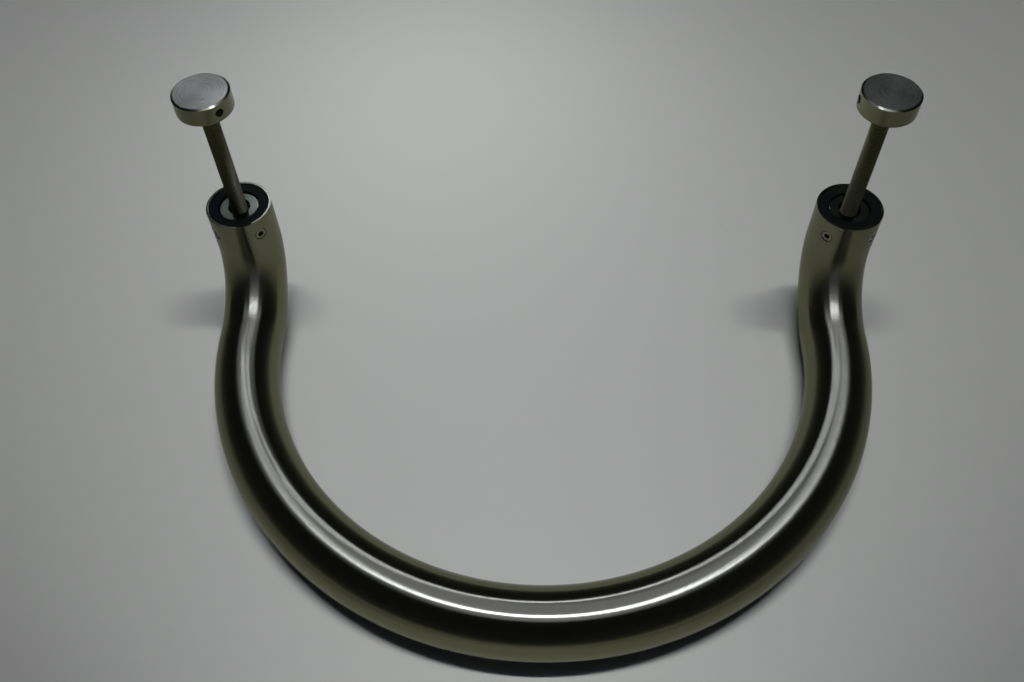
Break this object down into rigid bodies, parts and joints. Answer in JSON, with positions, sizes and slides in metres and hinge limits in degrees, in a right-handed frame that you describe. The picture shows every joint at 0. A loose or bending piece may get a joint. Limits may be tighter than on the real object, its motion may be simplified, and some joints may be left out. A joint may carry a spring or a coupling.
{
  "type": "bridge pull handle",
  "caption": "C-shaped tubular pull handle: a half-circle bow turned up into square-cut posts, with threaded studs and round clamping caps for through-fixing to a door.",
  "frame": {"origin": "midway between the two stud axes, in the plane of the tube ends that meets the door face", "axes": "+X from the left stud to the right one, +Z along the studs into the door, and the bow reaches towards -Y"},
  "size_m": [0.332, 0.22, 0.146],
  "materials": {
    "satin_stainless": "satin, brushed round the tube",
    "turned_stainless": "lathe-turned faces",
    "zinc_plated_steel": "turned and bright zinc plated",
    "black_nylon": "moulded, semi-matt",
    "oiled_steel": "rolled thread, dark and oily",
    "stainless_screw": "plain"
  },
  "bodies": {
    "root": {"handle_tube": "satin_stainless", "nylon_bush_left": "black_nylon", "threaded_core_left": "zinc_plated_steel", "stud_left": "oiled_steel", "clamping_cap_left": "turned_stainless", "grub_screw_left_inner": "stainless_screw", "grub_screw_left_outer": "stainless_screw", "nylon_bush_right": "black_nylon", "threaded_core_right": "zinc_plated_steel", "stud_right": "oiled_steel", "clamping_cap_right": "turned_stainless", "grub_screw_right_inner": "stainless_screw", "grub_screw_right_outer": "stainless_screw"}
  },
  "joints": []
}
